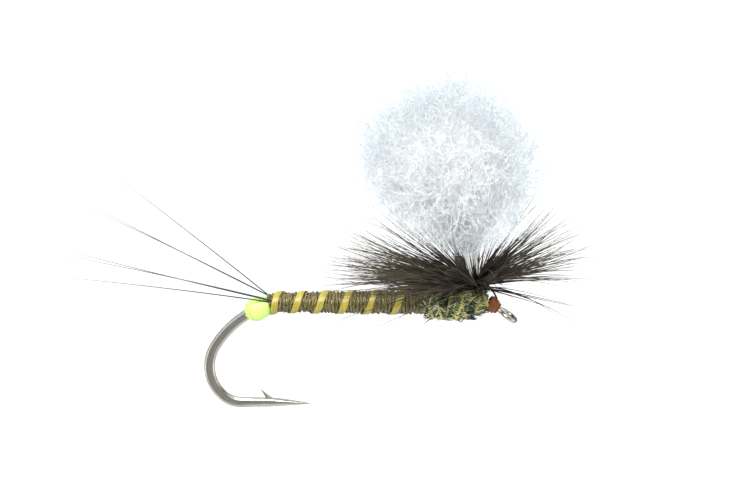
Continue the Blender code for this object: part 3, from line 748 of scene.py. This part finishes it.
def make_wing(material):
    """Crimped yarn: long fibres that spring from the post, and a felt of curls held by them."""
    rng = np.random.default_rng(100)
    count, points = 460, 50
    t = np.linspace(0.0, 1.0, points)[None, :, None]
    root = rng.normal(0.0, 0.13, (count, 1, 3)) * np.array((1.0, 1.0, 0.0)) - (0.0, 0.0, 0.4)
    tip, close = wing_places(rng, count)
    tip = tip[:, None]
    tip[..., 2] = np.maximum(tip[..., 2], 1.6)
    belly = tip * np.array((0.36, 0.36, 0.5)) + (0.0, 0.0, 0.5)
    line = (1.0 - t) ** 2 * root + 2.0 * t * (1.0 - t) * belly + t ** 2 * tip
    length = np.linalg.norm(tip - root, axis=2)[:, 0]
    grow = smooth_step(t * 3.0)
    line += grow * 0.15 * waves(rng, count, points, length, (0.6, 0.9, 1.3))
    line += grow * 0.75 * t * waves(rng, count, points, length, (3.0, 5.0))
    wing_piece("wing_yarn_long", line, close, material)

    for number, (count, points, crimp, spread) in enumerate(WING_CURLS, 1):
        rng = np.random.default_rng(100 + number)
        middle, close = wing_places(rng, count, spread)
        away = np.linalg.norm(middle, axis=1)
        outward = unit(middle + (0.0, 0.0, 0.6))
        loose = np.clip((away + 0.3) / 2.6, 0.35, 1.0)[:, None]
        heading = unit(outward + rng.normal(0.0, 1.0, (count, 3)) * loose)
        length = np.minimum(rng.uniform(2.4, 4.8, count), 0.9 + away * 0.9)
        t = np.linspace(-0.5, 0.5, points)[None, :, None]
        line = middle[:, None] + heading[:, None] * t * length[:, None, None]
        line += crimp * waves(rng, count, points, length, (0.5, 0.75, 1.1)) * loose[:, None]
        line += 0.55 * waves(rng, count, points, length, (2.4, 3.6)) * loose[:, None]
        below = wing_underside(line) - line[..., 2]
        line[..., 2] += np.maximum(below, 0.0).max(axis=1)[:, None] * rng.uniform(0.8, 1.3, (count, 1))
        wing_piece(f"wing_yarn_curls_{number}", line, close, material)


def wing_piece(name, line, close, material):
    """Fibres from their lines in millimetres from the hinge, tapered at their ends."""
    radii = np.full(line.shape[:2], YARN_R)
    radii[:, -4:] *= np.linspace(1.0, 0.4, 4)
    radii[:, :4] *= np.linspace(0.4, 1.0, 4)
    # close becomes each fibre's tone, which the yarn's material turns into painted brightness for
    # close felt and painted grey for loose fibres.
    yarn = tubes(name, line * MM + np.array(WING_HINGE), radii, 3, tones=close)
    finish_piece(yarn, material, "wing_yarn", "wing_plume", body=None)
    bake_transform(yarn)


# Lowest and highest places on the post, from the wing's hinge.
POST_HEIGHT = (-2.30 * MM, 0.10 * MM)
WRAP_HEIGHT = (-1.70 * MM, -0.20 * MM)
POST_R = 0.25 * MM
WRAP_R = 0.335 * MM


def make_post(material, thread):
    """The gathered foot of the yarn, and the thread wound round it."""
    rng = np.random.default_rng(21)
    count, points = 60, 16
    t = np.linspace(0.0, 1.0, points)
    angle = rng.uniform(0.0, TURN, count)
    reach = POST_R * np.sqrt(rng.uniform(0.0, 1.0, count))
    squeeze = blend(0.72, 1.0, smooth_step((t - 0.2) * 4.0))
    local = np.zeros((count, points, 3))
    local[..., 0] = (reach * np.cos(angle))[:, None] * squeeze
    local[..., 1] = (reach * np.sin(angle))[:, None] * squeeze
    local[..., 2] = blend(*POST_HEIGHT, t)[None]
    post = tubes("post_yarn", post_to_world(local), np.full((count, points), 0.04 * MM), 5)
    finish_piece(post, material, "wing_yarn", "wing_post")

    path, up = post_helix(*WRAP_HEIGHT, WRAP_R, 19.0, 20)
    radii = np.full(path.shape[:2], 0.042 * MM)
    wrap = tubes("post_wrap_thread", path, radii, 6, up, flatness=0.8, twist=12.0)
    finish_piece(wrap, thread, "pale_thread", "post_wrap")


def post_helix(low, high, radius, turns, steps, first_angle=0.0):
    """A helix round the post, from height high down to low, measured from the wing's hinge."""
    f = np.linspace(0.0, 1.0, int(turns * steps) + 1)
    angle = first_angle - TURN * turns * f
    outward = np.stack((np.cos(angle), np.sin(angle), np.zeros_like(angle)), axis=1)
    local = outward * radius
    local[:, 2] = blend(high, low, f)
    return post_to_world(local)[None], (outward @ POST_TURN.T)[None]


# ---------------------------------------------------------------- hackle

STEM_HEIGHT = (-1.92 * MM, -1.42 * MM)      # of the quill's turns, from the wing's hinge
# From the last turn down to the head, in millimetres.
STEM_TIE_DOWN = ((-1.33, -0.25, 2.00), (-1.24, -0.22, 1.94), (-1.14, -0.19, 1.86),
                 (-1.05, -0.15, 1.76), (-0.95, -0.11, 1.63), (-0.86, -0.07, 1.48),
                 (-0.76, -0.03, 1.30), (-0.67, 0.00, 1.12), (-0.62, 0.02, 0.98))


def make_stem(material):
    """One quill: four turns round the post, then its end tied down at the head."""
    path, _ = post_helix(*STEM_HEIGHT, 0.43 * MM, 4.0, 28, -math.radians(35.0))
    path = np.concatenate((path[0], np.array(STEM_TIE_DOWN) * MM))[None]
    for _ in range(3):
        path[:, 1:-1] = 0.5 * path[:, 1:-1] + 0.25 * (path[:, :-2] + path[:, 2:])
    up = np.zeros_like(path) + (0.0, 0.3, 1.0)
    stem = tubes("hackle_quill", path, np.full(path.shape[:2], 0.055 * MM), 8, up)
    finish_piece(stem, material, "hackle_quill", "hackle_stem")


def make_barbs(material):
    """Barbs that stand out from the quill all round the post, in clumps as a feather's webs."""
    rng = np.random.default_rng(3)
    clumps, each, points = 112, 6, 13
    count = clumps * each
    order = (np.arange(clumps) * 4.0 / clumps + rng.uniform(-0.05, 0.05, clumps)) % 1.0
    around = np.interp(order, (0.0, 0.26, 0.92, 1.0), np.radians((8.0, 125.0, 290.0, 367.0)))
    rear = np.maximum(0.0, -np.cos(around))
    near = np.maximum(0.0, -np.sin(around)) * np.where(around < math.radians(290.0), 1.0, 0.5)
    height = blend(STEM_HEIGHT[1], STEM_HEIGHT[0], np.linspace(0.0, 1.0, clumps))
    rise = np.radians(rng.normal(7.0, 8.0, clumps) + 8.0 * rear + 11.0 * near)
    azimuth = np.repeat(around, each) + np.radians(rng.normal(0.0, 4.5, count))
    rise = np.repeat(rise, each) + np.radians(rng.normal(0.0, 3.5, count))
    rise = np.clip(rise, math.radians(-12.0), math.radians(36.0))
    length = rng.uniform(6.0, 8.3, count) * MM * (1.0 - 0.10 * np.cos(azimuth))
    root_z = np.repeat(height, each) + rng.normal(0.0, 0.04 * MM, count)

    # Short barbs that stand up in front of the post's foot.
    strays = 50
    stray = rng.choice(count, strays, replace=False)
    rise[stray] = np.radians(rng.uniform(34.0, 74.0, strays))
    azimuth[stray] = np.radians(rng.uniform(205.0, 325.0, strays))
    length[stray] = rng.uniform(1.2, 2.8, strays) * MM

    t = np.linspace(0.0, 1.0, points)
    bow = np.radians(rng.normal(0.0, 6.0, count))
    sweep = np.radians(rng.normal(0.0, 5.0, count))
    root = np.stack((np.cos(azimuth), np.sin(azimuth), np.zeros(count)), axis=1) * 0.32 * MM
    root[:, 2] = root_z
    local = np.zeros((count, points, 3))
    for i, f in enumerate(t):
        angle = rise + bow * (f - 0.3)
        turn = azimuth + sweep * f
        direction = np.stack((
            np.cos(turn) * np.cos(angle), np.sin(turn) * np.cos(angle), np.sin(angle)), axis=1)
        local[:, i] = root + direction * (length * f)[:, None]
    radii = blend(0.048 * MM, 0.006 * MM, t ** 0.8)[None] * rng.uniform(0.75, 1.2, (count, 1))
    barbs = tubes("hackle_fibres", post_to_world(local), radii, 4)
    finish_piece(barbs, material, "hackle_barbs", "hackle_barbs")


# ---------------------------------------------------------------- thorax

THORAX_X = (ABDOMEN_HIGH.x - 0.10 * MM, -1.16 * MM)
THORAX_Z = SHANK_Z + 0.05 * MM
# One winding a row: turns (below zero the other way round), first angle, lift in millimetres.
HERL_WINDINGS = (
    (3.3, 0.2, 0.02), (3.1, 2.4, 0.05), (3.4, 4.3, 0.08),
    (-2.2, 1.0, 0.18), (-2.6, 3.6, 0.23), (2.0, 5.4, 0.25))
QUILL_R = 0.075 * MM                        # of a herl's quill
HUG_R = 0.78 * MM                           # of the curve that its barbules follow


def thorax_radius(f):
    """Outline of the thorax: it swells behind the post and falls away to the head."""
    rear = smooth_step(f / 0.12)
    front = smooth_step((1.0 - f) / 0.42)
    nose = smooth_step((1.0 - f) / 0.16)
    return (0.38 + 0.24 * rear * nose + 0.18 * front * rear) * MM


def herl_path(turns, first_angle, lift, count):
    f = np.linspace(0.0, 1.0, count + 1)
    angle = first_angle + TURN * turns * f
    outward = np.stack((np.zeros_like(f), -np.cos(angle), np.sin(angle)), axis=1)
    path = outward * (thorax_radius(f) + lift)[:, None]
    path[:, 0] += blend(*THORAX_X, f)
    path[:, 2] += THORAX_Z
    return path, outward


def make_thorax(quill_material, flue_material):
    """Herls wound both ways over an underbody, each a flat quill with two rows of barbules."""
    rng = np.random.default_rng(8)
    count = 260
    strands = [herl_path(turns, start, lift * MM, count) for turns, start, lift in HERL_WINDINGS]
    paths, ups = (np.array(column) for column in zip(*strands))
    quill = tubes("herl_quills", paths, np.full(paths.shape[:2], QUILL_R), 8, ups,
                  flatness=0.5, twist=4.0)
    finish_piece(quill, quill_material, "peacock_herl",
                 "herl_strand_1", "herl_strand_2", "herl_strand_3")

    f = np.linspace(0.0, 1.0, 60)
    core_path = np.stack((blend(*THORAX_X, f), 0.0 * f, 0.0 * f + THORAX_Z), axis=1)[None]
    core_r = (thorax_radius(f) - 0.05 * MM)[None]
    core_r[0, 0] *= 0.8
    core_r[0, -1] *= 0.8
    up = np.zeros_like(core_path) + (0.0, 1.0, 0.0)
    # The underbody takes the flue's darkest tone, a near-black that is painted shade between the
    # barbules.
    core = tubes("herl_underbody", core_path, core_r, 32, up, tones=np.array((0.0,)))
    finish_piece(core, flue_material, "peacock_herl")

    hairs, points = 3000, 6
    strand = rng.integers(0, len(strands), hairs)
    at = rng.integers(0, int(0.94 * count), hairs)
    root, outward = paths[strand, at], ups[strand, at]
    tangent = unit(np.gradient(paths, axis=1))[strand, at]
    across = np.cross(outward, tangent)
    row = rng.choice((-1.0, 1.0), (hairs, 1))
    stand = rng.uniform(0.05, 0.5, (hairs, 1)) ** 1.8
    lean = unit(outward * stand + across * row * rng.uniform(0.5, 1.0, (hairs, 1))
                + tangent * rng.normal(0.55, 0.35, (hairs, 1)))
    clear = smooth_step((THORAX_X[1] - root[:, :1]) / (0.7 * MM))
    length = rng.uniform(0.30, 0.66, (hairs, 1)) * blend(0.35, 1.0, clear) * MM
    t = np.linspace(0.0, 1.0, points)
    curl = unit(rng.normal(size=(hairs, 3)) - outward)
    # Where a barbule runs along its quill, it follows the quill's curve round the thorax.
    round_body = length * np.sum(lean * tangent, axis=1, keepdims=True)
    sink = 0.22 * length * t ** 2
    hug = 0.5 * (round_body * t) ** 2 / HUG_R
    line = (root[:, None] + lean[:, None] * (length * t)[..., None]
            + curl[:, None] * sink[..., None] - outward[:, None] * hug[..., None])
    radii = blend(0.046 * MM, 0.014 * MM, t)[None] * rng.uniform(0.5, 1.3, (hairs, 1))
    # Tones come in patches along the thorax and round it, a painted sheen for the herl's colour
    # changing with angle, over a random spread of its own colours.
    angle = np.arctan2(outward[:, 1], outward[:, 2])
    patch = np.sin(root[:, 0] / MM * 3.4 + 1.5 * angle) * np.sin(root[:, 0] / MM * 1.7 - angle)
    tones = np.clip(0.38 + 0.40 * patch + rng.normal(0.0, 0.28, hairs), 0.0, 1.0)
    flue = tubes("herl_flue", line, radii, 3, tones=tones)
    finish_piece(flue, flue_material, "peacock_herl")


# ---------------------------------------------------------------- head

HEAD_U = (-1.34 * MM, -0.76 * MM)           # along the eye's own axis, from the eye's middle
HEAD_TURNS = 6.5
HEAD_THREAD_R = 0.064 * MM
VARNISH_U = -0.71 * MM
VARNISH_R = 0.30 * MM


def eye_frame(u):
    """A place on the eye's own axis, with the near side and the direction up off the axis."""
    middle = Vector((u * math.cos(EYE_DOWN), 0.0, -u * math.sin(EYE_DOWN)))
    return middle, Vector((0.0, -1.0, 0.0)), Vector((math.sin(EYE_DOWN), 0.0, math.cos(EYE_DOWN)))


def make_head(thread, varnish):
    """Turns of thread behind the eye, and a bead of varnish over their front end."""
    rng = np.random.default_rng(2)

    def radius(f):
        return (0.42 - 0.13 * max(0.0, (f - 0.5) / 0.5) ** 2) * MM

    path, up = winding(lambda f: eye_frame(blend(*HEAD_U, f)), radius, HEAD_TURNS, 36, rng,
                       drift=0.016 * MM, slip=0.020 * MM)
    radii = np.full(path.shape[:2], HEAD_THREAD_R)
    turns = tubes("head_thread_turns", path, radii, 8, up, flatness=0.85, twist=10.0)
    finish_piece(turns, thread, "brown_thread", "head_thread")

    path, up = winding(lambda f: eye_frame(VARNISH_U), lambda f: VARNISH_R, 1.0, 48)
    radii = np.full((1, path.shape[1] - 1), 0.05 * MM)
    bead = tubes("head_varnish_bead", path[:, :-1], radii, 12, up[:, :-1])
    finish_piece(bead, varnish, "varnish", "head_varnish")


# ---------------------------------------------------------------- studio

# One area light a row: name, place, width, height and power.
LIGHTS = (
    ("key", (-0.05, -0.24, 0.22), 0.22, 0.22, 1.85),
    ("strip_right", (0.32, -0.04, 0.05), 0.14, 0.40, 0.35),
    ("strip_left", (-0.32, -0.02, 0.02), 0.14, 0.40, 0.35),
)
LIT_PLACE = Vector((-0.008, 0.0, 0.003))    # that all lights point at
CAMERA_ELEVATION = math.radians(16.0)
CAMERA_DISTANCE = 0.480
CAMERA_TARGET = Vector((-7.66 * MM, 0.0, 3.91 * MM))


def make_studio():
    """A wide floor, a white world with a dim front, and three soft lights."""
    bpy.ops.mesh.primitive_grid_add(x_subdivisions=8, y_subdivisions=8, size=6.0)
    floor = bpy.context.object
    floor.name = "studio_floor"
    floor.location = (0.0, 0.0, -0.25)
    floor.data.materials.append(floor_look())

    # A white tent, open and dim on the camera's side below its roof.
    world = bpy.data.worlds.new("studio_world")
    world.use_nodes = True
    tree = world.node_tree
    background = tree.nodes["Background"]
    background.inputs["Color"].default_value = (0.97, 0.985, 1.0, 1.0)
    heading = tree.nodes.new("ShaderNodeSeparateXYZ")
    coordinates = tree.nodes.new("ShaderNodeTexCoord")
    tree.links.new(coordinates.outputs["Generated"], heading.inputs["Vector"])
    back = ranged(tree, heading.outputs["Y"], 0.35, 0.7)
    roof = ranged(tree, heading.outputs["Z"], 0.45, 0.7)
    either = tree.nodes.new("ShaderNodeMath")
    either.operation = "MAXIMUM"
    tree.links.new(back, either.inputs[0])
    tree.links.new(roof, either.inputs[1])
    strength = tree.nodes.new("ShaderNodeMapRange")
    tree.links.new(either.outputs["Value"], strength.inputs["Value"])
    strength.inputs["To Min"].default_value = 0.40
    strength.inputs["To Max"].default_value = 1.5
    tree.links.new(strength.outputs["Result"], background.inputs["Strength"])
    bpy.context.scene.world = world

    for name, place, width, height, power in LIGHTS:
        light = bpy.data.lights.new(name, "AREA")
        light.shape = "RECTANGLE"
        light.size = width
        light.size_y = height
        light.energy = power
        lamp = bpy.data.objects.new(name, light)
        bpy.context.scene.collection.objects.link(lamp)
        lamp.location = place
        lamp.visible_camera = False
        aim = LIT_PLACE - Vector(place)
        lamp.rotation_euler = aim.to_track_quat("-Z", "Y").to_euler()
    bpy.context.scene.view_settings.view_transform = "Standard"


def ranged(tree, value, low, high):
    """A smooth step from 0 to 1 as the value goes from low to high."""
    node = tree.nodes.new("ShaderNodeMapRange")
    node.interpolation_type = "SMOOTHSTEP"
    tree.links.new(value, node.inputs["Value"])
    node.inputs["From Min"].default_value = low
    node.inputs["From Max"].default_value = high
    return node.outputs["Result"]


def make_camera():
    """A long lens that looks a little down at the fly's side, from -Y."""
    camera = bpy.data.cameras.new("camera")
    camera.lens = 400.0
    camera.sensor_width = 36.0
    camera.clip_start = 0.01
    camera.clip_end = 20.0
    holder = bpy.data.objects.new("camera", camera)
    bpy.context.scene.collection.objects.link(holder)
    away = Vector((0.0, -math.cos(CAMERA_ELEVATION), math.sin(CAMERA_ELEVATION)))
    holder.location = CAMERA_TARGET + away * CAMERA_DISTANCE
    holder.rotation_euler = (-away).to_track_quat("-Z", "Y").to_euler()
    bpy.context.scene.camera = holder


# ---------------------------------------------------------------- build

steel = steel_look()
thread = fibre_look("rust_thread", srgb(122, 66, 14), srgb(122, 66, 14), 0.3, 0.1, 0.6,
                    (0.5, 3.0, 3.0), 0.4, specular_ior_level=0.4)
white_thread = fibre_look("white_thread", srgb(206, 208, 206), srgb(206, 208, 206), 0.5, 0.05, 0.1,
                          (0.5, 3.0, 3.0), 0.3)
strand = strand_look()
ribbon = fibre_look("gold_ribbon", srgb(150, 137, 46), srgb(150, 137, 46), 0.34, 0.0, 0.48,
                    (0.7, 4.0, 4.0), 0.35)
floss = fibre_look("chartreuse_floss", srgb(184, 224, 110), srgb(184, 224, 110), 0.3, 0.06, 0.22,
                   (0.3, 5.0, 5.0), 0.3, sheen_weight=0.3, sheen_roughness=0.3)
hair = fibre_look("slate_hair", srgb(38, 44, 46), srgb(104, 112, 110), 0.35, 0.1, 0.1,
                  specular_ior_level=0.25)
yarn = yarn_look()
quill = fibre_look("dark_quill", srgb(26, 20, 16), srgb(26, 20, 16), 0.35, 0.1, 0.2,
                   specular_ior_level=0.3)
barb = fibre_look("cock_barb", srgb(20, 13, 11), srgb(92, 84, 66), 0.45, 0.3, 0.15,
                  specular_ior_level=0.15)
tan_quill = fibre_look("tan_quill", srgb(186, 170, 112), srgb(150, 146, 84), 0.36, 0.25, 0.4)
flue = herl_look()
gloss = fibre_look("clear_varnish", srgb(120, 72, 40), srgb(120, 72, 40), 0.1, 0.0, 0.05)

make_camera()
make_studio()
make_hook(steel)
make_abdomen(strand)
make_rib(ribbon)
make_butt(floss)
make_tail("tail_far_fibres", TAIL_FAR, TAIL_FAR_HINGE,
          ("tail_fibre_1", "tail_fibre_2", "tail_fibre_3"), hair)
make_tail("tail_near_fibres", TAIL_NEAR, TAIL_NEAR_HINGE,
          ("tail_fibre_4", "tail_fibre_5", "tail_fibre_6"), hair)
make_wing(yarn)
make_post(yarn, white_thread)
make_stem(quill)
make_barbs(barb)
make_thorax(tan_quill, flue)
make_head(thread, gloss)
for hidden in ("thread_base", "tail_lashing", "wing_lashing"):
    frame["nodes"][hidden].data.materials.clear()
    frame["nodes"][hidden].data.materials.append(thread)
